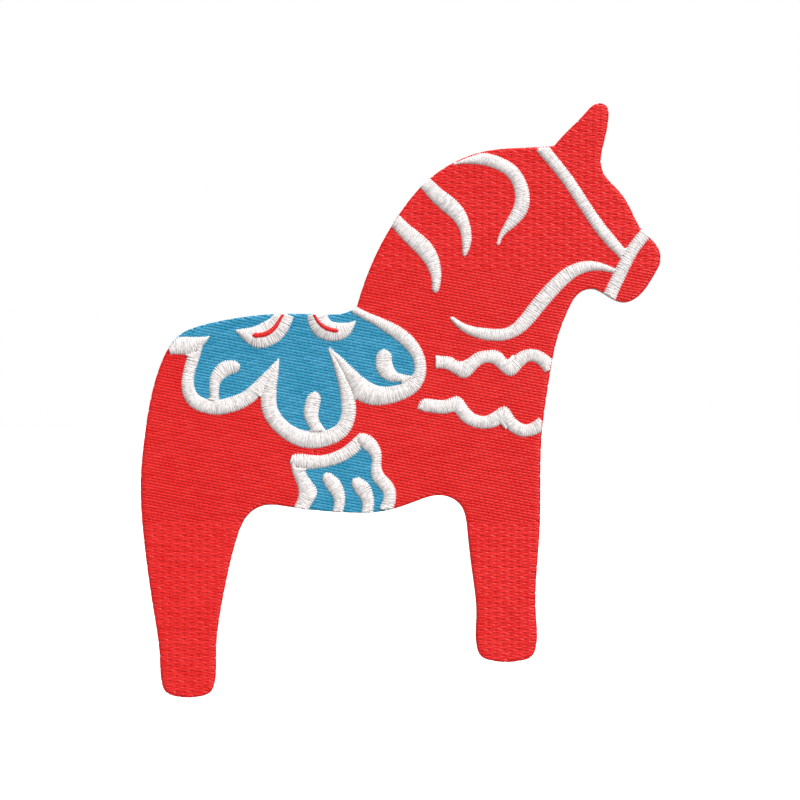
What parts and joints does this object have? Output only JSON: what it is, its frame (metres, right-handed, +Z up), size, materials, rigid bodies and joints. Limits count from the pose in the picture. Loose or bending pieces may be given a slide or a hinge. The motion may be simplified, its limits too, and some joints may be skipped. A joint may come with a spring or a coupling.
{
  "type": "embroidered dala horse patch",
  "caption": "Cut-out embroidered patch of a dala horse: red tatami fill, blue saddle and girth panel, raised white satin borders, open back with bobbin stitches.",
  "frame": {"origin": "on the open back of the patch, at the middle of the horse, where it rests on the garment", "axes": "+Z up as worn, from feet to ear; +X towards the muzzle; +Y out of the back, so the stitched face looks along -Y"},
  "size_m": [0.1002, 0.0022, 0.1145],
  "materials": {
    "red_thread": "trilobal polyester embroidery thread, satin sheen",
    "blue_thread": "trilobal polyester embroidery thread, satin sheen",
    "white_thread": "trilobal polyester embroidery thread, satin sheen",
    "bobbin_thread": "spun polyester bobbin thread, matte",
    "twill_cloth": "white poly-cotton twill, matte",
    "stabiliser": "non-woven cut-away backing, matte"
  },
  "bodies": {
    "root": {"accent_front": "red_thread", "accent_rear": "red_thread", "bobbin_thread_girth": "bobbin_thread", "bobbin_thread_red_area": "bobbin_thread", "bobbin_thread_saddle": "bobbin_thread", "cheek_strap": "white_thread", "collar_wave_lower": "white_thread", "collar_wave_upper": "white_thread", "crescent_front": "white_thread", "crescent_rear": "white_thread", "cutaway_stabiliser": "stabiliser", "girth_border_front": "white_thread", "girth_border_rear": "white_thread", "girth_border_top": "white_thread", "girth_comma_front": "white_thread", "girth_comma_rear": "white_thread", "girth_fill": "blue_thread", "jaw_line": "white_thread", "mane_lock_front": "white_thread", "mane_lock_middle": "white_thread", "mane_lock_rear": "white_thread", "noseband": "white_thread", "petal_border_front": "white_thread", "petal_border_middle": "white_thread", "petal_border_rear": "white_thread", "petal_comma_front": "white_thread", "petal_comma_middle": "white_thread", "petal_comma_rear": "white_thread", "red_fill_foreleg": "red_thread", "red_fill_forequarter": "red_thread", "red_fill_haunch": "red_thread", "red_fill_head": "red_thread", "red_fill_hindleg": "red_thread", "red_fill_rump": "red_thread", "red_fill_shoulder": "red_thread", "saddle_fill_lower": "blue_thread", "saddle_fill_upper": "blue_thread", "saddle_wedge": "white_thread", "twill_ground": "twill_cloth", "underlay_girth": "blue_thread", "underlay_red": "red_thread", "underlay_saddle": "blue_thread"}
  },
  "joints": []
}
